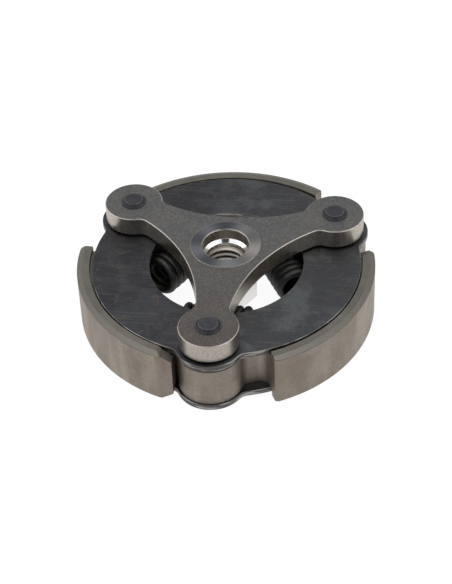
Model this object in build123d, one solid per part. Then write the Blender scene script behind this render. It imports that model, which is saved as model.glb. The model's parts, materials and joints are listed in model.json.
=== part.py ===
from build123d import *
import math
import os

os.makedirs("parts", exist_ok=True)

# Three-shoe centrifugal clutch.
# The origin is on the crank axis, in the plane that the shoes' rims stand on.
# All lengths are in millimetres, +Z is up and the front pivot pin is on -Y.

# Driving dimensions: the shoes
shoe_outer_radius = 38.0        # friction face, with the shoe swung out against the drum
rim_thickness = 3.05
rim_lip_below = 1.87            # how far the rim stands below and above the shoe's web
rim_lip_above = 1.53
rim_chamfer_radial = 1.3
rim_chamfer_axial = 0.5
rim_start_angle = 25.2          # from the shoe's own pin, degrees
rim_start_bevel = 0.7
rim_end_bevel_radial = 0.85
rim_end_bevel_axial = 2.1       # rim's upper and lower corners at the free end
rim_end_bevel_tangential = 3.6
web_height = 11.1
web_inset = 2.6                 # web wall inside the plates' outline
inner_setback = 1.3             # shoe's inner wall outside the plates' bore
recess_fillet = 2.4
rest_swing = 1.8                # how far the springs hold each shoe swung in, degrees
free_end_gap = 0.5              # between a shoe's free end and the next shoe's boss

# Driving dimensions: the pivots
pin_radius = 3.0
pin_inset = 8.3                 # pin axis inside the shoes' outer radius
pin_stand = 0.9                 # pin end above the carrier
pin_chamfer = 0.72
pin_tenon_radius = 2.25         # riveted lower end, through the lower plate
tenon_head_radius = 3.0
tenon_head_depth = 0.7
boss_wall = 4.9
pivot_clearance = 0.05

# Driving dimensions: the two plates
plate_thickness = 1.5
plate_rim_gap = 1.35            # plate edge to the rim, with the shoe swung out
plate_edge_chamfer = 0.1
lobe_margin = 0.5               # plate lobe outside the shoe's boss
lobe_fillet = 2.8
plate_pin_clearance = 0.1
axial_clearance = 0.05
plate_play = 0.45               # room between the upper plate and the carrier

# Driving dimensions: the carrier
arm_thickness = 5.0
arm_end_wall = 4.3
arm_waist_radius = 11.07        # hub edge between two arms
arm_side_radius = 42.0          # concave side between two arms
arm_neck_fillet = 3.0
arm_edge_chamfer = 0.15
pad_radius = 8.73
pad_height = 0.3
counterbore_radius = 5.8
counterbore_depth = 3.0
counterbore_chamfer = 0.2
thread_radius = 5.0             # M10 major radius: the thread's ridges stand inside this hole
thread_mouth_chamfer = 0.6
hub_across_flats = 13.0
hub_length = 10.95              # below the arms

# Driving dimensions: the springs and their dowels
wire_radius = 0.95
coil_share = 0.658              # coil diameter as a share of the room between hub and boss
coil_pitch = 2.1
coil_steps = 12                 # straight runs in one turn
wire_sides = 6
spring_boss_gap = 1.4
spring_plate_overlap = 1.1      # how far the plates reach over the coil
hook_length = 9.2               # coil end to dowel axis, with what is left over from whole turns
hook_bend = 2.8                 # length in which the wire leaves the coil for its hook
hook_steps = 4                  # straight runs round a dowel
hook_tip = 1.6
hook_clearance = 0.06
dowel_radius = 1.25
dowel_inset = 2.22              # dowel axis behind the shoe's inner wall
pocket_clearance = 0.45
slot_clearance = 0.4

# Radii worked out from the driving dimensions
pin_circle_radius = shoe_outer_radius - pin_inset
rim_inner_radius = shoe_outer_radius - rim_thickness
boss_radius = pin_radius + boss_wall
lobe_radius = boss_radius + lobe_margin
plate_radius = rim_inner_radius - plate_rim_gap
web_radius = plate_radius - web_inset
arm_end_radius = pin_radius + arm_end_wall
coil_outer_radius = coil_share * (pin_circle_radius - boss_radius - hub_across_flats / 2) / 2
coil_radius = coil_outer_radius - wire_radius
spring_radius = pin_circle_radius - boss_radius - spring_boss_gap - coil_outer_radius
plate_bore_radius = spring_radius + coil_outer_radius - spring_plate_overlap
shoe_inner_radius = plate_bore_radius + inner_setback
dowel_reach = math.sqrt((shoe_inner_radius + dowel_inset) ** 2 - spring_radius**2)
coil_turns = int(2 * (dowel_reach - hook_length) / coil_pitch)
coil_half_length = coil_turns * coil_pitch / 2
hook_radius = dowel_radius + hook_clearance + wire_radius

# Heights worked out from the driving dimensions
rim_bottom = 0.0
web_bottom = rim_bottom + rim_lip_below
web_top = web_bottom + web_height
rim_top = web_top + rim_lip_above
shoe_middle = (web_bottom + web_top) / 2
lower_plate_top = web_bottom - axial_clearance
lower_plate_bottom = lower_plate_top - plate_thickness
upper_plate_bottom = web_top + axial_clearance
upper_plate_top = upper_plate_bottom + plate_thickness
carrier_bottom = upper_plate_top + plate_play
carrier_top = carrier_bottom + arm_thickness
pad_top = carrier_top + pad_height
pin_top = carrier_top + pin_stand
hub_bottom = carrier_bottom - hub_length

# Stations: one pivot pin and one spring at each angle
pin_pitch = 120                 # degrees from one pin to the next
station_angles = {"front": -90, "right": -90 + pin_pitch, "left": -90 + 2 * pin_pitch}
shoe_pins = {"right_shoe": "front", "back_shoe": "right", "left_shoe": "left"}


def at_station(angle, shape):
    """Turns a shape made beside the +X axis to the pin at this angle."""
    return Rot(0, 0, angle) * shape


def slab(sketch, bottom, top):
    """A flat sketch raised to a solid between two heights."""
    return extrude(Pos(0, 0, bottom) * sketch, amount=top - bottom)


def sector(inner, outer, start, end):
    """A flat ring sector between two radii and two angles."""
    ring = Circle(outer) - Circle(inner)
    reach = 2 * outer
    middle = (start + end) / 2
    wedge = make_face(
        Polyline(
            (0, 0),
            (reach * math.cos(math.radians(start)), reach * math.sin(math.radians(start))),
            (reach * math.cos(math.radians(middle)), reach * math.sin(math.radians(middle))),
            (reach * math.cos(math.radians(end)), reach * math.sin(math.radians(end))),
            close=True,
        )
    )
    return ring & wedge


def at_pins(sketch):
    """The sketch copied to the three pins."""
    return [at_station(angle, Pos(pin_circle_radius, 0) * sketch) for angle in station_angles.values()]


def outer_edges(part, height):
    """The outline's edges on the flat face at this height."""
    faces = part.faces().filter_by(Axis.Z).filter_by(lambda face: abs(face.center().Z - height) < 1e-3)
    return faces.sort_by(SortBy.AREA)[-1].outer_wire().edges()


def make_carrier():
    """Three flat arms on a hexagon hub, with a faced pad, a counterbore and the crank hole."""
    side = Pos(arm_waist_radius + arm_side_radius, 0) * Circle(arm_side_radius)
    star = Circle(pin_circle_radius - arm_end_radius / 2)
    for angle in station_angles.values():
        star -= at_station(angle + pin_pitch / 2, side)
    outline = star
    for arm_end in at_pins(Circle(arm_end_radius)):
        outline += arm_end
    outline = fillet(outline.vertices(), arm_neck_fillet)
    arms = slab(outline, carrier_bottom, carrier_top)
    arms = chamfer(outer_edges(arms, carrier_top) + outer_edges(arms, carrier_bottom), arm_edge_chamfer)
    pad = slab(Circle(pad_radius), carrier_top, pad_top)
    hexagon = RegularPolygon(hub_across_flats / 2, 6, major_radius=False)
    hub = slab(hexagon, hub_bottom, carrier_bottom)
    floor = pad_top - counterbore_depth
    cone_depth = counterbore_radius - thread_radius
    bore = make_face(
        Polyline(
            (0, pad_top),
            (counterbore_radius + counterbore_chamfer, pad_top),
            (counterbore_radius, pad_top - counterbore_chamfer),
            (counterbore_radius, floor),
            (thread_radius, floor - cone_depth),
            (thread_radius, hub_bottom + thread_mouth_chamfer),
            (thread_radius + thread_mouth_chamfer, hub_bottom),
            (0, hub_bottom),
            close=True,
        )
    )
    carrier = arms + pad + hub - revolve(Plane.XZ * bore, Axis.Z)
    for hole in at_pins(Circle(pin_radius)):
        carrier -= slab(hole, carrier_bottom, carrier_top)
    return carrier


def plate_outline():
    """A ring with a lobe at each pin, blended into its outer edge."""
    outline = Circle(plate_radius)
    for lobe in at_pins(Circle(lobe_radius)):
        outline += lobe
    return fillet(outline.vertices(), lobe_fillet)


def make_plate(bottom, hole_radius):
    """One stamped plate: the outline with its bore, three pin holes and broken edges."""
    top = bottom + plate_thickness
    plate = slab(plate_outline(), bottom, top)
    plate = chamfer(outer_edges(plate, top) + outer_edges(plate, bottom), plate_edge_chamfer)
    plate -= slab(Circle(plate_bore_radius), bottom, top)
    for hole in at_pins(Circle(hole_radius)):
        plate -= slab(hole, bottom, top)
    return plate


def tenon_head():
    """The riveted end of a pin's tenon, flush in the lower plate's underside."""
    head = Cone(
        tenon_head_radius,
        pin_tenon_radius,
        tenon_head_depth,
        align=(Align.CENTER, Align.CENTER, Align.MIN),
    )
    return Pos(pin_circle_radius, 0, lower_plate_bottom) * head


def make_lower_plate():
    """The lower plate, countersunk for the riveted pin ends."""
    plate = make_plate(lower_plate_bottom, pin_tenon_radius)
    for angle in station_angles.values():
        plate -= at_station(angle, tenon_head())
    return plate


def make_pin():
    """A pivot pin on the +X axis: plain shank, chamfered top, riveted tenon below."""
    profile = make_face(
        Polyline(
            (0, lower_plate_bottom),
            (tenon_head_radius, lower_plate_bottom),
            (pin_tenon_radius, lower_plate_bottom + tenon_head_depth),
            (pin_tenon_radius, lower_plate_top),
            (pin_radius, lower_plate_top),
            (pin_radius, pin_top - pin_chamfer),
            (pin_radius - pin_chamfer, pin_top),
            (0, pin_top),
            close=True,
        )
    )
    return Pos(pin_circle_radius, 0, 0) * revolve(Plane.XZ * profile, Axis.Z)


def rim_sweep():
    """The full-height rim with its chamfered friction face, turned from the rim start to the next pin."""
    root_radius = web_radius - web_inset
    profile = make_face(
        Polyline(
            (root_radius, web_bottom),
            (rim_inner_radius, web_bottom),
            (rim_inner_radius, rim_bottom),
            (shoe_outer_radius - rim_chamfer_radial, rim_bottom),
            (shoe_outer_radius, rim_bottom + rim_chamfer_axial),
            (shoe_outer_radius, rim_top - rim_chamfer_axial),
            (shoe_outer_radius - rim_chamfer_radial, rim_top),
            (rim_inner_radius, rim_top),
            (rim_inner_radius, web_top),
            (root_radius, web_top),
            close=True,
        )
    )
    rim = revolve(Plane.XZ * profile, Axis.Z, revolution_arc=pin_pitch - rim_start_angle)
    return Rot(0, 0, rim_start_angle) * rim


def spring_slot(side):
    """The mid-height slot for a spring hook, beside the +X axis on the side given by +1 or -1."""
    half_width = hook_radius + wire_radius + slot_clearance
    half_height = wire_radius + slot_clearance
    slot = make_face(
        Polyline(
            (spring_radius - half_width, 0),
            (spring_radius + half_width, 0),
            (spring_radius + half_width, side * dowel_reach),
            (spring_radius - half_width, side * dowel_reach),
            close=True,
        )
    )
    slot += Pos(spring_radius, side * dowel_reach) * Circle(half_width)
    return slab(slot, shoe_middle - half_height, shoe_middle + half_height)


def spring_pocket(side):
    """The room for half of a coil, beside the +X axis on the side given by +1 or -1."""
    half_length = coil_half_length + hook_bend + wire_radius
    wall = spring_radius + coil_outer_radius + pocket_clearance
    room = make_face(
        Polyline(
            (0, -side * half_length),
            (wall, -side * half_length),
            (wall, side * half_length),
            (0, side * half_length),
            close=True,
        )
    )
    return slab(room, web_bottom, web_top)


def spring_dowel(side):
    """A spring dowel, which is also the hole that holds it, beside the +X axis."""
    return slab(Pos(spring_radius, side * dowel_reach) * Circle(dowel_radius), web_bottom, web_top)


def make_shoe():
    """One shoe, hung on the pin on the +X axis and reaching to the next pin, at rest on its springs."""
    boss = Pos(pin_circle_radius, 0) * Circle(boss_radius)
    web = slab(sector(shoe_inner_radius, web_radius, 0, pin_pitch) + boss, web_bottom, web_top)
    beside_boss = (pin_circle_radius + boss_radius, boss_radius, shoe_middle)
    corners = web.edges().filter_by(Axis.Z).sort_by_distance(beside_boss)
    web = fillet(corners[0], recess_fillet)
    shoe = web + rim_sweep()
    turn = math.radians(rim_start_angle)
    rim_root = (web_radius * math.cos(turn), web_radius * math.sin(turn), shoe_middle)
    corners = shoe.edges().filter_by(Axis.Z).sort_by_distance(rim_root)
    shoe = fillet(corners[0], recess_fillet)
    start_corner = (shoe_outer_radius * math.cos(turn), shoe_outer_radius * math.sin(turn))
    bevel = Rot(0, 0, 45) * Rectangle(rim_start_bevel * math.sqrt(2), rim_start_bevel * math.sqrt(2))
    shoe -= slab(Pos(*start_corner) * Rot(0, 0, rim_start_angle) * bevel, rim_bottom, rim_top)
    shoe -= slab(Pos(pin_circle_radius, 0) * Circle(pin_radius + pivot_clearance), web_bottom, web_top)
    shoe = shoe.rotate(Axis((pin_circle_radius, 0, 0), (0, 0, 1)), rest_swing)
    shoe -= spring_pocket(1) + spring_slot(1) + spring_dowel(1)
    shoe -= at_station(pin_pitch, spring_pocket(-1) + spring_slot(-1) + spring_dowel(-1))
    return shoe - free_end_cut()


def free_end_cut():
    """All beyond a shoe's free end: a flat face beside the next boss, with the rim's corners bevelled."""
    face = -(boss_radius + free_end_gap)
    bevel_start = face - rim_end_bevel_tangential
    reach = 2 * shoe_outer_radius
    at_rest = Pos(pin_circle_radius, 0) * Rot(0, 0, rest_swing) * Pos(-pin_circle_radius, 0)
    rim_axis = (Rot(0, 0, -pin_pitch) * at_rest).position
    face_corner = rim_axis.X + math.sqrt(shoe_outer_radius**2 - (face - rim_axis.Y) ** 2)
    bevel_corner = rim_axis.X + math.sqrt(shoe_outer_radius**2 - (bevel_start - rim_axis.Y) ** 2)
    cut = make_face(
        Polyline(
            (0, face),
            (face_corner - rim_end_bevel_radial, face),
            (bevel_corner, bevel_start),
            (reach, bevel_start),
            (reach, reach),
            (0, reach),
            close=True,
        )
    )
    beyond = slab(cut, rim_bottom, rim_top)
    for edge, way in ((rim_top, 1), (rim_bottom, -1)):
        corner_cut = make_face(
            Polyline(
                (face, edge - way * rim_end_bevel_axial),
                (bevel_start, edge),
                (face, edge),
                close=True,
            )
        )
        beyond += Pos(web_radius, 0, 0) * extrude(Plane.YZ * corner_cut, amount=reach)
    return at_station(pin_pitch, beyond)


def spring_path():
    """The wire's middle line beside the +X axis: coil, with a hook laid flat round a dowel at each end."""
    coil = []
    for step in range(coil_turns * coil_steps + 1):
        turn = 2 * math.pi * step / coil_steps
        across = spring_radius + coil_radius * math.cos(turn)
        along = -coil_half_length + coil_pitch * step / coil_steps
        coil.append((across, along, shoe_middle + coil_radius * math.sin(turn)))
    lead = hook_points()
    trail = [(x, -y, 2 * shoe_middle - z) for x, y, z in reversed(lead)]
    return trail + coil + lead


def hook_points():
    """The hook at the coil's +Y end, from coil to tip, in straight runs that touch the hook's circle."""
    turn = 2 * math.pi / coil_steps
    points = [
        (
            spring_radius + coil_radius * math.cos(turn),
            coil_half_length + hook_bend / 3,
            shoe_middle + coil_radius * math.sin(turn),
        ),
        (
            spring_radius + hook_radius + wire_radius,
            coil_half_length + 2 * hook_bend / 3,
            shoe_middle + wire_radius,
        ),
        (spring_radius + hook_radius, coil_half_length + hook_bend, shoe_middle),
    ]
    half_step = math.pi / hook_steps / 2
    corner_radius = hook_radius / math.cos(half_step)
    for step in range(hook_steps):
        turn = (2 * step + 1) * half_step
        points.append(
            (
                spring_radius + corner_radius * math.cos(turn),
                dowel_reach + corner_radius * math.sin(turn),
                shoe_middle,
            )
        )
    points.append((spring_radius - hook_radius, dowel_reach - hook_tip, shoe_middle))
    return points


def make_spring():
    """A tension spring beside the +X axis: flat-sided wire along the path."""
    points = spring_path()
    path = Polyline(*points)
    start = Plane(origin=points[0], z_dir=Vector(*points[1]) - Vector(*points[0]))
    return sweep(start * RegularPolygon(wire_radius, wire_sides), path=path, transition=Transition.RIGHT)


nodes = {
    "carrier": make_carrier(),
    "upper_plate": make_plate(upper_plate_bottom, pin_radius + plate_pin_clearance),
    "lower_plate": make_lower_plate(),
}
pin = make_pin()
spring = make_spring()
for station, angle in station_angles.items():
    nodes[f"{station}_pivot_pin"] = at_station(angle, pin)
    nodes[f"{station}_spring"] = at_station(angle, spring)
shoe = make_shoe()
for name, station in shoe_pins.items():
    angle = station_angles[station]
    nodes[name] = at_station(angle, shoe)
    nodes[f"{name}_lead_dowel"] = at_station(angle, spring_dowel(1))
    nodes[f"{name}_trail_dowel"] = at_station(angle + pin_pitch, spring_dowel(-1))

for name, shape in nodes.items():
    export_step(shape, f"parts/{name}.step")
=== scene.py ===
import bpy
import json
import math
from mathutils import Matrix, Vector


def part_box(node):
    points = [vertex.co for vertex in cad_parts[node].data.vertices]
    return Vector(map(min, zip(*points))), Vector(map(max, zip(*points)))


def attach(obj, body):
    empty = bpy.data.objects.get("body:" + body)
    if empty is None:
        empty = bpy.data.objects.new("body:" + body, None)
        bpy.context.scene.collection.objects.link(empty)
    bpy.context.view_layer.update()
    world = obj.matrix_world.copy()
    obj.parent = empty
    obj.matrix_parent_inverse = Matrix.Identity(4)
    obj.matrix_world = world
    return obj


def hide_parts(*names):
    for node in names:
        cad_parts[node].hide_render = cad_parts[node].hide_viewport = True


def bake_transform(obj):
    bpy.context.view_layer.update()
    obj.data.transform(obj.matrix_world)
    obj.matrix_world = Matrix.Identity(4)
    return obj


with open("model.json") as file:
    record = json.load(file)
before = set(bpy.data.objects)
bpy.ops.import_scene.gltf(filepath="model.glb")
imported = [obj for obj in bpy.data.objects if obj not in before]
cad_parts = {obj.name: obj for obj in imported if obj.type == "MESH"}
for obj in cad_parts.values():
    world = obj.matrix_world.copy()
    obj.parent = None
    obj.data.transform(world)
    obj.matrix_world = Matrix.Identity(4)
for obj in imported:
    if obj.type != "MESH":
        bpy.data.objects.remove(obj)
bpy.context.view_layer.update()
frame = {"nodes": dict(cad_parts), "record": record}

MM = 0.001
UP = Vector((0, 0, 1))
SHARP_ANGLE = math.radians(40)

# Photograph: image size in pixels, and the camera that was fitted to it
IMAGE_HEIGHT = 584
SENSOR_WIDTH = 36.0
FOCAL_PIXELS = 1803.2
CAMERA_AZIMUTH = math.radians(9.64)
CAMERA_ELEVATION = math.radians(41.51)
CAMERA_ROLL = math.radians(2.64)
CAMERA_DISTANCE = 458.93 * MM
CAMERA_NEAR = 0.01
AIM_RIGHT = -0.4345 * MM
AIM_UP = 2.7018 * MM
AIM_HEIGHT = 0.87 * MM

# Where the finishes change on the solids
ARMS_BOTTOM = 14.97 * MM
PAD_TOP = 20.27 * MM
PAD_RADIUS = 8.73 * MM
CONE_TOP = 17.27 * MM
HEXAGON_RADIUS = 7.6 * MM
PIN_RADIUS = 3.0 * MM
PIN_CIRCLE_RADIUS = 29.7 * MM
FRICTION_TOP = 14.0 * MM
BOSS_RADIUS = 7.9 * MM
BOSS_TOP = 12.97 * MM

# Edge wear and painted edge highlight: how far the rounded normal agrees with the face where they begin
# and where they are full
EDGE_WEAR_AND_HIGHLIGHT_BEGINS = 0.999
EDGE_WEAR_AND_HIGHLIGHT_FULL = 0.93

# Painted sheen of the turned pad: its mean level, and waves round the axis with their height and lag
SHEEN_LEVEL = 0.42
SHEEN_WAVES = ((1, 0.16, -0.35), (2, 0.08, -0.2), (5, 0.14, -0.17))
SHEEN_LEAST = 0.02
SHEEN_CONTRAST = 1.5

# Crank thread: M10 coarse, cut into the hole that the record states
THREAD_PITCH = 1.5 * MM
THREAD_MINOR_RADIUS = 4.188 * MM
THREAD_CREST = 0.375 * MM
THREAD_ROOT = 0.19 * MM
THREAD_BURIED = 0.04 * MM
THREAD_STEPS = 72
THREAD_FADE_TURNS = 0.6
THREAD_FADED = 0.02
THREAD_BROWN_FROM = 4.3 * MM
THREAD_BROWN_FULL = 4.75 * MM

# Springs: round wire in a close coil, with a hook round a dowel at each end
WIRE_RADIUS = 0.95 * MM
WIRE_SIDES = 16
COIL_RADIUS = 4.084 * MM
COIL_PITCH = 2.1 * MM
COIL_TURNS = 8
COIL_STEPS = 40
HOOK_RADIUS = 2.26 * MM
HOOK_BEND = 1.75 * MM
HOOK_TIP = 1.6 * MM
HOOK_STEPS = 16
# How fast the wire leaves the coil and comes to the hook, as shares of pitch, bend and coil radius
LEAVE_ALONG = 0.25
LEAVE_UP = 1.3
ARRIVE_ALONG = 1.2
ARRIVE_DOWN = 0.6
SPRING_ENDS = {
    "front_spring": ("right_shoe", "left_shoe"),
    "right_spring": ("back_shoe", "right_shoe"),
    "left_spring": ("left_shoe", "back_shoe"),
}

# Stage: the plain floor, the white ground that is mixed in, the levels of the room, and the lamp
FLOOR_SIZE = 6.0
FLOOR_SHADE = 0.6
GROUND_GLOW = 0.94
GROUND_SHADE = 0.12
# The white ground as the metal sees it, dimmer in front: a painted shade on the floor
MIRRORED_BEHIND = 0.88
MIRRORED_FRONT = 0.52
MIRRORED_FADE = (-20 * MM, -50 * MM)
ROOM_LEVEL = 1.0
ROOM_OVERHEAD = 0.85
ROOM_SIDES = 1.5
ROOM_BEHIND = 0.6
ROOM_LOW_FRONT = 0.6
LENS_LEVEL = 0.05
LENS_WAY = Vector((0.11, -0.653, 0.748)).normalized()
SOFTBOX_PLACE = Vector((-0.05, 0.1, 0.65))
SOFTBOX_SIZE = 0.5
SOFTBOX_WATTS = 1.2


class Graph:
    """The node tree of a material or world, with short ways to add nodes that the finishes share."""

    def __init__(self, owner):
        owner.use_nodes = True
        self.owner = owner
        self.tree = owner.node_tree
        self.tree.nodes.clear()

    def add(self, kind, **settings):
        """A new node of this kind, with its settings."""
        node = self.tree.nodes.new(kind)
        for key, value in settings.items():
            setattr(node, key, value)
        return node

    def feed(self, socket, value):
        """Links a socket, or sets it to a constant."""
        if isinstance(value, bpy.types.NodeSocket):
            self.tree.links.new(value, socket)
        elif value is not None:
            socket.default_value = value

    def math(self, operation, first, second=None):
        """One Math node."""
        node = self.add("ShaderNodeMath", operation=operation)
        self.feed(node.inputs[0], first)
        self.feed(node.inputs[1], second)
        return node.outputs[0]

    def both(self, first, second):
        """Where two masks overlap."""
        return self.math("MULTIPLY", first, second)

    def step(self, value, low, high, start=0.0, end=1.0):
        """The value eased from start to end as it goes from low to high."""
        node = self.add("ShaderNodeMapRange", interpolation_type="SMOOTHSTEP")
        for socket, item in zip(node.inputs, (value, low, high, start, end)):
            self.feed(socket, item)
        return node.outputs[0]

    def blend(self, share, first, second):
        """Two colours mixed by a share."""
        node = self.add("ShaderNodeMix", data_type="RGBA")
        self.feed(node.inputs[0], share)
        self.feed(node.inputs[6], first)
        self.feed(node.inputs[7], second)
        return node.outputs[2]

    def level(self, share, first, second):
        """Two numbers mixed by a share."""
        node = self.add("ShaderNodeMix", data_type="FLOAT")
        self.feed(node.inputs[0], share)
        self.feed(node.inputs[2], first)
        self.feed(node.inputs[3], second)
        return node.outputs[0]

    def place(self):
        """Where a point is on its object, in metres."""
        return self.add("ShaderNodeTexCoord").outputs["Object"]

    def split(self, vector):
        """The three parts of a vector."""
        node = self.add("ShaderNodeSeparateXYZ")
        self.feed(node.inputs[0], vector)
        return node.outputs

    def stretched(self, scale, turn=0.0):
        """The place, turned about the vertical and stretched along the three axes."""
        node = self.add("ShaderNodeMapping")
        self.feed(node.inputs["Vector"], self.place())
        node.inputs["Rotation"].default_value = (0, 0, turn)
        node.inputs["Scale"].default_value = scale
        return node.outputs[0]

    def noise(self, size, detail=3.0, rough=0.55, vector=None):
        """Noise from 0 to 1 with features of about this size in metres."""
        node = self.add("ShaderNodeTexNoise")
        self.feed(node.inputs["Vector"], vector or self.place())
        node.inputs["Scale"].default_value = 1 / size
        node.inputs["Detail"].default_value = detail
        node.inputs["Roughness"].default_value = rough
        return node.outputs["Fac"]

    def levelness(self):
        """How far a face looks up or down: 1 on a level face, 0 on a wall."""
        normal = self.add("ShaderNodeNewGeometry").outputs["True Normal"]
        return self.math("ABSOLUTE", self.split(normal)[2])

    def cylinder(self):
        """A point's distance from the crank axis, its height and its turn about the axis."""
        x, y, height = self.split(self.place())
        square = self.math("ADD", self.math("POWER", x, 2.0), self.math("POWER", y, 2.0))
        return self.math("SQRT", square), height, self.math("ARCTAN2", y, x)

    def from_pin(self, radius, turn):
        """A point's distance from the nearest pivot pin's axis."""
        third = 2 * math.pi / 3
        node = self.add("ShaderNodeMath", operation="WRAP")
        self.feed(node.inputs[0], self.math("ADD", turn, math.pi / 2))
        self.feed(node.inputs[1], third / 2)
        self.feed(node.inputs[2], -third / 2)
        across = self.math("MULTIPLY", radius, self.math("SINE", node.outputs[0]))
        along = self.math("MULTIPLY", radius, self.math("COSINE", node.outputs[0]))
        away = self.math("SUBTRACT", along, PIN_CIRCLE_RADIUS)
        square = self.math("ADD", self.math("POWER", across, 2.0), self.math("POWER", away, 2.0))
        return self.math("SQRT", square)

    def rounded(self, reach):
        """The normal with edges rounded over this distance."""
        bevel = self.add("ShaderNodeBevel", samples=8)
        bevel.inputs["Radius"].default_value = reach
        return bevel.outputs[0]

    def edge_wear_and_highlight(self, reach):
        """1 on an edge, fading to 0 at this distance from it."""
        dot = self.add("ShaderNodeVectorMath", operation="DOT_PRODUCT")
        self.feed(dot.inputs[0], self.rounded(reach))
        self.feed(dot.inputs[1], self.add("ShaderNodeNewGeometry").outputs["True Normal"])
        return self.step(dot.outputs["Value"], EDGE_WEAR_AND_HIGHLIGHT_BEGINS, EDGE_WEAR_AND_HIGHLIGHT_FULL)

    def bump(self, height, depth, strength=1.0, under=None):
        """A normal with this height pattern, of this depth in metres."""
        node = self.add("ShaderNodeBump")
        node.inputs["Strength"].default_value = strength
        node.inputs["Distance"].default_value = depth
        self.feed(node.inputs["Height"], height)
        self.feed(node.inputs["Normal"], under)
        return node.outputs[0]

    def matt(self, shade):
        """A matt surface that takes light and shadow."""
        diffuse = self.add("ShaderNodeBsdfDiffuse")
        diffuse.inputs["Color"].default_value = grey(shade)
        return diffuse.outputs[0]

    def glowing(self, glow, shade):
        """White that glows by one share and takes light and shadow by another."""
        emission = self.add("ShaderNodeEmission")
        emission.inputs["Strength"].default_value = glow
        node = self.add("ShaderNodeAddShader")
        self.feed(node.inputs[0], emission.outputs[0])
        self.feed(node.inputs[1], self.matt(shade))
        return node.outputs[0]

    def metal(self, colour, roughness, normal=None):
        """The finished material: one Principled shader."""
        shader = self.add("ShaderNodeBsdfPrincipled")
        self.feed(shader.inputs["Base Color"], colour)
        self.feed(shader.inputs["Roughness"], roughness)
        self.feed(shader.inputs["Normal"], normal)
        shader.inputs["Metallic"].default_value = 1.0
        output = self.add("ShaderNodeOutputMaterial")
        self.feed(output.inputs["Surface"], shader.outputs[0])
        return self.owner


def finish(name):
    """The empty node tree of a new material."""
    return Graph(bpy.data.materials.new(name))


def grey(level, warmth=0.0):
    """A neutral colour, or a warm or cool one."""
    return (level * (1 + warmth), level, level * (1 - warmth), 1.0)


def painted_turned_sheen(g, turn):
    """Painted sheen: the light and dark sectors that a face cut on a lathe shows, painted into its colour,
    from 0 to 1.
    """
    sheen = SHEEN_LEVEL
    for waves, height, lag in SHEEN_WAVES:
        wave = g.math("COSINE", g.math("MULTIPLY", g.math("SUBTRACT", turn, lag), waves))
        sheen = g.math("ADD", g.math("MULTIPLY", wave, height), sheen)
    return g.math("POWER", g.math("MAXIMUM", sheen, SHEEN_LEAST), SHEEN_CONTRAST)


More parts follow.
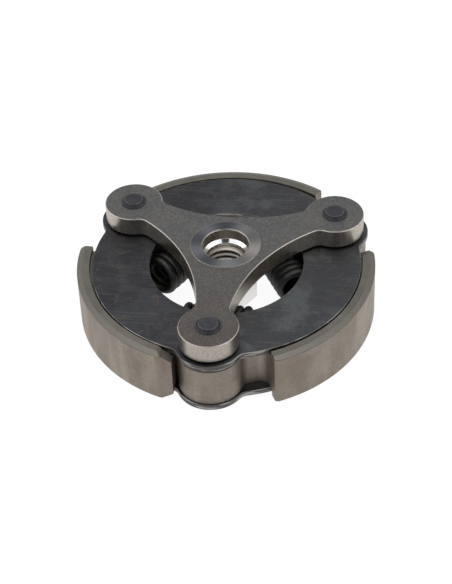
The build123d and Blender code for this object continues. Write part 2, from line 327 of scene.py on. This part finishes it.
def carrier_steel():
    """A dull speckled coat on the faces with a painted shadow round each pin, mottled cut sides, a bright
    hexagon, a turned bore, a painted sheen on the turned pad, and worn edges with a painted highlight.
    """
    g = finish("carrier_steel")
    radius, height, turn = g.cylinder()
    flat = g.step(g.levelness(), 0.9, 0.98)
    grain = g.noise(0.55 * MM, 3.0, 0.7)
    cloud = g.noise(6 * MM, 4.0, 0.6)
    brown = g.noise(1.6 * MM, 4.0, 0.65)
    streak = g.noise(1.3 * MM, 4.0, 0.6, g.stretched((1, 1, 0.3)))
    _, y, _ = g.split(g.place())

    # Coat with light specks and dark pits, darker and browner towards the front, and a painted shadow in a
    # dark ring round each pin
    face = g.blend(g.step(cloud, 0.35, 0.65), grey(0.125, -0.01), grey(0.14, 0.02))
    front = g.step(y, 8 * MM, -34 * MM)
    face = g.blend(g.both(front, 0.42), face, (0.065, 0.045, 0.035, 1))
    speck = g.blend(front, grey(0.195, 0.02), (0.168, 0.147, 0.13, 1))
    face = g.blend(g.step(grain, 0.5, 0.72), face, speck)
    face = g.blend(g.step(grain, 0.48, 0.3), face, grey(0.09, 0.05))
    face = g.blend(g.step(brown, 0.5, 0.75, 0.0, 0.5), face, (0.165, 0.14, 0.115, 1))
    # Painted shadow: a dark ring on the coat round the foot of each pin
    ring = g.step(g.from_pin(radius, turn), PIN_RADIUS + 0.35 * MM, PIN_RADIUS + 0.15 * MM)
    face = g.blend(g.both(ring, 0.7), face, grey(0.04))

    # Cut sides, and the hexagon below the arms
    wall = g.blend(g.step(streak, 0.3, 0.7), (0.42, 0.385, 0.338, 1), (0.46, 0.428, 0.385, 1))
    wall = g.blend(g.step(grain, 0.48, 0.68, 0.0, 0.8), wall, (0.6, 0.545, 0.465, 1))
    wall = g.blend(g.step(grain, 0.45, 0.3, 0.0, 0.7), wall, (0.29, 0.258, 0.22, 1))
    colour = g.blend(flat, wall, face)
    low = g.step(height, ARMS_BOTTOM, ARMS_BOTTOM - 0.1 * MM)
    hexagon = g.both(low, g.step(radius, HEXAGON_RADIUS, HEXAGON_RADIUS - 0.05 * MM))
    colour = g.blend(hexagon, colour, g.blend(streak, grey(0.86, 0.02), grey(0.97, 0.02)))

    # Turned pad, bore and cone
    turned = g.both(
        g.step(radius, PAD_RADIUS - 0.02 * MM, PAD_RADIUS - 0.12 * MM),
        g.step(height, ARMS_BOTTOM, ARMS_BOTTOM + 0.3 * MM),
    )
    wall_of_bore = g.blend(streak, (0.38, 0.35, 0.315, 1), (0.48, 0.45, 0.41, 1))
    cone = g.step(height, CONE_TOP + 0.05 * MM, CONE_TOP)
    bore = g.blend(cone, wall_of_bore, grey(0.93))
    # Painted sheen on the turned pad: light sectors, warmer towards the right, blended over dark ones
    light = g.blend(g.step(g.math("COSINE", turn), 0.2, 0.9), (0.52, 0.54, 0.57, 1), (0.56, 0.53, 0.5, 1))
    pad = g.blend(painted_turned_sheen(g, turn), (0.062, 0.062, 0.072, 1), light)
    top = g.step(height, PAD_TOP - 0.15 * MM, PAD_TOP - 0.05 * MM)
    colour = g.blend(turned, colour, g.blend(top, bore, pad))

    # Worn edges, lightened also as a painted highlight along them
    colour = g.blend(g.both(g.edge_wear_and_highlight(0.14 * MM), 0.6), colour, grey(0.58, 0.03))
    rough = g.level(flat, g.step(streak, 0.3, 0.7, 0.3, 0.37), 0.5)
    rough = g.level(turned, rough, g.level(cone, 0.24, 0.11))
    normal = g.bump(grain, 0.012 * MM, 0.5, g.rounded(0.12 * MM))
    return g.metal(colour, rough, normal)


def plate_steel():
    """Blue-black sheet with cloudy stains and fine brush lines, its cut edges torn and scratched."""
    g = finish("plate_steel")
    x, _, _ = g.split(g.place())
    flat = g.step(g.levelness(), 0.9, 0.98)
    cloud = g.noise(11 * MM, 6.0, 0.65)
    stain = g.noise(2.2 * MM, 5.0, 0.7)
    grain = g.noise(0.4 * MM, 3.0, 0.65)
    brushed = g.noise(2.4 * MM, 3.0, 0.6, g.stretched((0.2, 4, 1), 0.2))
    torn = g.noise(6 * MM, 2.0, 0.6, g.stretched((1, 1, 11)))
    right = g.step(x, -14 * MM, 16 * MM, 0.25, 1.0)
    face = g.blend(right, (0.042, 0.041, 0.047, 1), (0.068, 0.07, 0.076, 1))
    face = g.blend(g.both(g.step(cloud, 0.45, 0.6), right), face, (0.108, 0.118, 0.124, 1))
    face = g.blend(g.step(stain, 0.52, 0.7, 0.0, 0.8), face, (0.105, 0.09, 0.076, 1))
    face = g.blend(g.step(brushed, 0.5, 0.75, 0.0, 0.5), face, (0.125, 0.127, 0.135, 1))
    face = g.blend(g.step(grain, 0.48, 0.28, 0.0, 0.7), face, (0.036, 0.036, 0.041, 1))
    side = g.blend(g.step(torn, 0.46, 0.62), grey(0.1, 0.04), grey(0.36, 0.03))
    colour = g.blend(flat, side, face)
    edge = g.both(g.edge_wear_and_highlight(0.1 * MM), g.step(stain, 0.35, 0.6, 0.15, 0.6))
    colour = g.blend(edge, colour, grey(0.45, 0.02))
    rough = g.step(cloud, 0.3, 0.7, 0.38, 0.46)
    normal = g.bump(grain, 0.006 * MM, 0.4, g.rounded(0.08 * MM))
    return g.metal(colour, rough, normal)


def shoe_iron():
    """Sintered iron, brownish grey, with an open grain, soft bands, a dark line under the chamfer's edge,
    and a painted shadow at the top of each boss.
    """
    g = finish("shoe_iron")
    radius, height, turn = g.cylinder()
    flat = g.step(g.levelness(), 0.95, 0.99)
    slanted = g.step(g.levelness(), 0.2, 0.35)
    grain = g.noise(0.4 * MM, 4.0, 0.7)
    cloud = g.noise(6 * MM, 5.0, 0.62)
    band = g.noise(4.5 * MM, 3.0, 0.5, g.stretched((1, 1, 0.14)))
    wall = g.blend(g.step(cloud, 0.35, 0.65), (0.275, 0.23, 0.19, 1), (0.33, 0.292, 0.254, 1))
    wall = g.blend(g.step(band, 0.47, 0.72, 0.0, 0.7), wall, (0.43, 0.378, 0.32, 1))
    wall = g.blend(g.step(band, 0.45, 0.28, 0.0, 0.35), wall, (0.2, 0.165, 0.135, 1))
    wall = g.blend(g.step(grain, 0.52, 0.3, 0.0, 0.7), wall, (0.19, 0.158, 0.128, 1))
    wall = g.blend(g.step(grain, 0.52, 0.7, 0.0, 0.5), wall, (0.4, 0.352, 0.3, 1))
    face = g.blend(g.step(cloud, 0.35, 0.65), (0.15, 0.145, 0.125, 1), (0.185, 0.178, 0.155, 1))
    face = g.blend(g.step(grain, 0.5, 0.3, 0.0, 0.6), face, (0.1, 0.094, 0.08, 1))
    bevel = g.blend(g.step(grain, 0.3, 0.7), (0.17, 0.16, 0.14, 1), (0.23, 0.215, 0.19, 1))
    colour = g.blend(flat, g.blend(slanted, wall, bevel), face)
    bevel_line = g.both(
        g.step(height, FRICTION_TOP - 0.28 * MM, FRICTION_TOP - 0.18 * MM),
        g.step(height, FRICTION_TOP + 0.04 * MM, FRICTION_TOP - 0.02 * MM),
    )
    bevel_line = g.both(bevel_line, g.step(cloud, 0.3, 0.6, 0.3, 0.8))
    colour = g.blend(bevel_line, colour, (0.1, 0.08, 0.06, 1))
    # Painted shadow: a dark band at the top of each boss, for the gap under the plate's edge
    boss = g.step(g.from_pin(radius, turn), BOSS_RADIUS + 0.2 * MM, BOSS_RADIUS + 0.1 * MM)
    painted_gap_shadow = g.both(boss, g.step(height, BOSS_TOP - 0.85 * MM, BOSS_TOP - 0.7 * MM))
    colour = g.blend(g.both(painted_gap_shadow, 0.85), colour, (0.035, 0.03, 0.026, 1))
    colour = g.blend(g.both(g.edge_wear_and_highlight(0.16 * MM), 0.3), colour, (0.45, 0.42, 0.38, 1))
    rough = g.step(grain, 0.3, 0.7, 0.5, 0.62)
    return g.metal(colour, rough, g.bump(grain, 0.014 * MM, 0.5))


def pin_steel():
    """Black-oxide pin, with a painted shade darkening its chamfer, and worn edges lightened also as a
    painted highlight.
    """
    g = finish("pin_steel")
    flat = g.step(g.levelness(), 0.9, 0.98)
    cloud = g.noise(1.5 * MM, 4.0, 0.6)
    colour = g.blend(g.step(cloud, 0.3, 0.75), (0.056, 0.056, 0.064, 1), (0.074, 0.074, 0.083, 1))
    # Painted shade: the chamfer and side darker than the top
    colour = g.blend(flat, (0.042, 0.042, 0.048, 1), colour)
    # Worn edges, lightened also as a painted highlight along them
    colour = g.blend(g.both(g.edge_wear_and_highlight(0.2 * MM), 0.8), colour, grey(0.34))
    rough = g.step(cloud, 0.3, 0.7, 0.42, 0.54)
    return g.metal(colour, rough, g.bump(g.noise(0.3 * MM), 0.006 * MM, 0.4))


def spring_steel():
    """Oiled black wire."""
    g = finish("spring_steel")
    cloud = g.noise(2 * MM, 4.0, 0.6)
    colour = g.blend(g.step(cloud, 0.35, 0.7), grey(0.06), grey(0.095, 0.05))
    return g.metal(colour, g.step(cloud, 0.3, 0.7, 0.5, 0.62))


def dowel_steel():
    """Ground steel."""
    g = finish("dowel_steel")
    line = g.noise(0.4 * MM, 2.0, 0.5, g.stretched((1, 1, 0.1)))
    return g.metal(g.blend(line, grey(0.45), grey(0.55, 0.03)), g.step(line, 0.3, 0.7, 0.25, 0.35))


def thread_steel():
    """Cut thread: satin crests and brown roots."""
    g = finish("thread_steel")
    cloud = g.noise(1.2 * MM, 3.0, 0.55)
    radius, _, _ = g.cylinder()
    crest = g.blend(g.step(cloud, 0.3, 0.7), (0.36, 0.335, 0.31, 1), (0.44, 0.415, 0.385, 1))
    colour = g.blend(g.step(radius, THREAD_BROWN_FROM, THREAD_BROWN_FULL), crest, (0.2, 0.17, 0.142, 1))
    return g.metal(colour, g.step(cloud, 0.3, 0.7, 0.3, 0.4), g.bump(cloud, 0.01 * MM, 0.4))


def mesh_piece(name, points, faces, material):
    """A smooth mesh object made of points and faces."""
    mesh = bpy.data.meshes.new(name)
    mesh.from_pydata(points, [], faces)
    mesh.update()
    mesh.polygons.foreach_set("use_smooth", [True] * len(mesh.polygons))
    mesh.set_sharp_from_angle(angle=SHARP_ANGLE)
    mesh.materials.append(material)
    piece = bpy.data.objects.new(name, mesh)
    bpy.context.scene.collection.objects.link(piece)
    return piece


def swept(rings):
    """Points and faces of a closed body through these rings of points, with flat ends."""
    sides = len(rings[0])
    points = [point for ring in rings for point in ring]
    faces = [tuple(reversed(range(sides)))]
    for index in range(len(rings) - 1):
        here = index * sides
        for side in range(sides):
            after = (side + 1) % sides
            faces.append((here + side, here + after, here + sides + after, here + sides + side))
    last = (len(rings) - 1) * sides
    faces.append(tuple(range(last, last + sides)))
    return points, faces


def tube(name, path, radius, material):
    """Round wire along a path, with the section carried on without twist."""
    rings = []
    tangent = (path[1] - path[0]).normalized()
    across = tangent.orthogonal().normalized()
    for index, point in enumerate(path):
        ahead = path[min(index + 1, len(path) - 1)]
        behind = path[max(index - 1, 0)]
        turned = (ahead - behind).normalized()
        across = tangent.rotation_difference(turned) @ across
        tangent = turned
        other = tangent.cross(across)
        ring = []
        for side in range(WIRE_SIDES):
            turn = 2 * math.pi * side / WIRE_SIDES
            ring.append(point + radius * (math.cos(turn) * across + math.sin(turn) * other))
        rings.append(ring)
    return mesh_piece(name, *swept(rings), material)


def make_thread(material):
    """The helical ridge of the crank thread, fading into the wall at both ends."""
    mount = next(item for item in frame["record"]["mounts"] if item["name"] == "crank_thread")
    wall = mount["dims"]["r_mm"] * MM
    length = mount["dims"]["length_mm"] * MM
    bottom = mount["pos_m"][2] - length / 2
    turns = (length - THREAD_PITCH) / THREAD_PITCH
    half_foot = (THREAD_PITCH - THREAD_ROOT) / 2
    rings = []
    for index in range(int(turns * THREAD_STEPS) + 1):
        turn = index / THREAD_STEPS
        angle = 2 * math.pi * turn
        full = min(1, turn / THREAD_FADE_TURNS, (turns - turn) / THREAD_FADE_TURNS)
        crest = wall - (wall - THREAD_MINOR_RADIUS) * max(full, THREAD_FADED)
        height = bottom + THREAD_PITCH * (0.5 + turn)
        outline = (
            (wall + THREAD_BURIED, -half_foot),
            (crest, -THREAD_CREST / 2),
            (crest, THREAD_CREST / 2),
            (wall + THREAD_BURIED, half_foot),
        )
        ring = []
        for radius, rise in outline:
            ring.append(Vector((radius * math.cos(angle), radius * math.sin(angle), height + rise)))
        rings.append(ring)
    piece = mesh_piece("crank_thread", *swept(rings), material)
    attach(piece, "carrier_body")


def eased(start, start_tangent, end, end_tangent, steps):
    """Points after start on a smooth curve with these end tangents, as far as end."""
    points = []
    for index in range(1, steps + 1):
        t = index / steps
        points.append(
            (2 * t**3 - 3 * t**2 + 1) * start
            + (t**3 - 2 * t**2 + t) * start_tangent
            + (3 * t**2 - 2 * t**3) * end
            + (t**3 - t**2) * end_tangent
        )
    return points


def on_circle(radius, angle, along):
    """A point of a coil in a spring's own axes."""
    return Vector((radius * math.cos(angle), along, radius * math.sin(angle)))


def half_spring_path(dowel_reach):
    """Half of a spring in its own axes: across, along and up, from its middle to the hook's tip."""
    path = []
    half_turns = COIL_TURNS / 2
    for index in range(int(half_turns * COIL_STEPS) + 1):
        turn = index / COIL_STEPS
        path.append(on_circle(COIL_RADIUS, 2 * math.pi * (turn - half_turns), COIL_PITCH * turn))
    leaving = Vector((0, LEAVE_ALONG * COIL_PITCH, LEAVE_UP * COIL_RADIUS))
    hook_start = Vector((HOOK_RADIUS, half_turns * COIL_PITCH + HOOK_BEND, 0))
    arriving = Vector((0, ARRIVE_ALONG * HOOK_BEND, -ARRIVE_DOWN * COIL_RADIUS))
    path += eased(path[-1], leaving, hook_start, arriving, HOOK_STEPS)
    for index in range(HOOK_STEPS + 1):
        angle = math.pi * index / HOOK_STEPS
        turned = HOOK_RADIUS * math.sin(angle)
        path.append(Vector((HOOK_RADIUS * math.cos(angle), dowel_reach + turned, 0)))
    path.append(Vector((-HOOK_RADIUS, dowel_reach - HOOK_TIP, 0)))
    return path


def centre_of(node):
    """The middle of a CAD node's box."""
    low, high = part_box(node)
    return (low + high) / 2


def make_spring(node, lead_shoe, trail_shoe, material):
    """Two halves of a spring, each from its middle to its hook round a shoe's dowel."""
    middle = centre_of(node)
    lead = centre_of(f"{lead_shoe}_lead_dowel")
    trail = centre_of(f"{trail_shoe}_trail_dowel")
    along = (lead - trail).normalized()
    across = along.cross(UP)
    reach = (lead - trail).length / 2
    for end, shoe, dowel, way in (("lead", lead_shoe, lead, 1), ("trail", trail_shoe, trail, -1)):
        axes = Matrix((across, way * along, way * UP)).transposed()
        path = [middle + axes @ point for point in half_spring_path(reach)]
        half = tube(f"{node}_{end}_half", path, WIRE_RADIUS, material)
        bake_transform(half)
        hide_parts(node)


def make_camera():
    """The photograph's camera."""
    a, e = CAMERA_AZIMUTH, CAMERA_ELEVATION
    right = Vector((math.cos(a), math.sin(a), 0))
    back = Vector((math.sin(a) * math.cos(e), -math.cos(a) * math.cos(e), math.sin(e)))
    up = back.cross(right)
    data = bpy.data.cameras.new("camera")
    data.sensor_fit = "AUTO"
    data.sensor_width = SENSOR_WIDTH
    data.lens = FOCAL_PIXELS * SENSOR_WIDTH / IMAGE_HEIGHT
    data.clip_start = CAMERA_NEAR
    camera = bpy.data.objects.new("camera", data)
    bpy.context.scene.collection.objects.link(camera)
    own_right = math.cos(CAMERA_ROLL) * right - math.sin(CAMERA_ROLL) * up
    own_up = math.sin(CAMERA_ROLL) * right + math.cos(CAMERA_ROLL) * up
    place = AIM_RIGHT * right + AIM_UP * up + CAMERA_DISTANCE * back + AIM_HEIGHT * UP
    axes = Matrix((own_right, own_up, back)).transposed().to_4x4()
    camera.matrix_world = Matrix.Translation(place) @ axes
    bpy.context.scene.camera = camera


def make_floor():
    """A plain pale floor that keeps the shadow: white to the camera, and to the metal less so in front,
    where a painted shade dims it.
    """
    g = finish("floor_white")
    path = g.add("ShaderNodeLightPath").outputs
    seen = g.math("MAXIMUM", path["Is Camera Ray"], path["Is Transmission Ray"])
    _, y, _ = g.split(g.place())
    mirrored_with_painted_shade = g.step(y, *MIRRORED_FADE, MIRRORED_BEHIND, MIRRORED_FRONT)
    seen = g.math("MAXIMUM", seen, g.both(path["Is Glossy Ray"], mirrored_with_painted_shade))
    mix = g.add("ShaderNodeMixShader")
    g.feed(mix.inputs[0], seen)
    g.feed(mix.inputs[1], g.matt(FLOOR_SHADE))
    g.feed(mix.inputs[2], g.glowing(GROUND_GLOW, GROUND_SHADE))
    g.feed(g.add("ShaderNodeOutputMaterial").inputs["Surface"], mix.outputs[0])
    side = FLOOR_SIZE
    corners = [(-side, -side, 0), (side, -side, 0), (side, side, 0), (-side, side, 0)]
    floor = mesh_piece("floor", corners, [(0, 1, 2, 3)], g.owner)


def make_room():
    """A white room, softer overhead, behind and low in front, with a dark lens facing the object."""
    world = bpy.data.worlds.new("room")
    bpy.context.scene.world = world
    g = Graph(world)
    ray = g.add("ShaderNodeTexCoord").outputs["Generated"]
    x, y, z = g.split(ray)
    level = g.blend(g.step(z, 0.7, 0.95), grey(ROOM_LEVEL), grey(ROOM_OVERHEAD))
    level = g.blend(g.step(g.math("ABSOLUTE", x), 0.45, 0.85), level, grey(ROOM_SIDES))
    behind = g.both(g.step(y, -0.1, 0.6), g.step(z, 0.05, 0.35))
    level = g.blend(behind, level, grey(ROOM_BEHIND))
    low_front = g.both(g.step(y, -0.2, -0.8), g.step(z, 0.5, 0.3))
    level = g.blend(low_front, level, grey(ROOM_LOW_FRONT))
    dot = g.add("ShaderNodeVectorMath", operation="DOT_PRODUCT")
    g.feed(dot.inputs[0], ray)
    dot.inputs[1].default_value = LENS_WAY
    level = g.blend(g.step(dot.outputs["Value"], 0.96, 0.976), level, grey(LENS_LEVEL))
    background = g.add("ShaderNodeBackground")
    g.feed(background.inputs["Color"], level)
    g.feed(g.add("ShaderNodeOutputWorld").inputs["Surface"], background.outputs[0])


def make_softbox():
    """A large soft lamp overhead."""
    lamp = bpy.data.lights.new("softbox", "AREA")
    lamp.energy = SOFTBOX_WATTS
    lamp.size = SOFTBOX_SIZE
    softbox = bpy.data.objects.new("softbox", lamp)
    bpy.context.scene.collection.objects.link(softbox)
    softbox.location = SOFTBOX_PLACE
    softbox.rotation_euler = (-SOFTBOX_PLACE).to_track_quat("-Z", "Y").to_euler()


def dress():
    """Gives every CAD node its material and adds the pieces that replace or finish the solids."""
    makers = {
        "carrier_steel": carrier_steel,
        "plate_steel": plate_steel,
        "shoe_iron": shoe_iron,
        "pin_steel": pin_steel,
        "spring_steel": spring_steel,
        "dowel_steel": dowel_steel,
    }
    made = {slot: maker() for slot, maker in makers.items()}
    for subpart in frame["record"]["subparts"]:
        piece = frame["nodes"][subpart["node"]]
        for slot in piece.material_slots:
            slot.material = made[subpart["material_slot"]]
    make_thread(thread_steel())
    for node, (lead_shoe, trail_shoe) in SPRING_ENDS.items():
        make_spring(node, lead_shoe, trail_shoe, made["spring_steel"])


bpy.context.scene.view_settings.view_transform = "Standard"
dress()
make_floor()
make_room()
make_softbox()
make_camera()
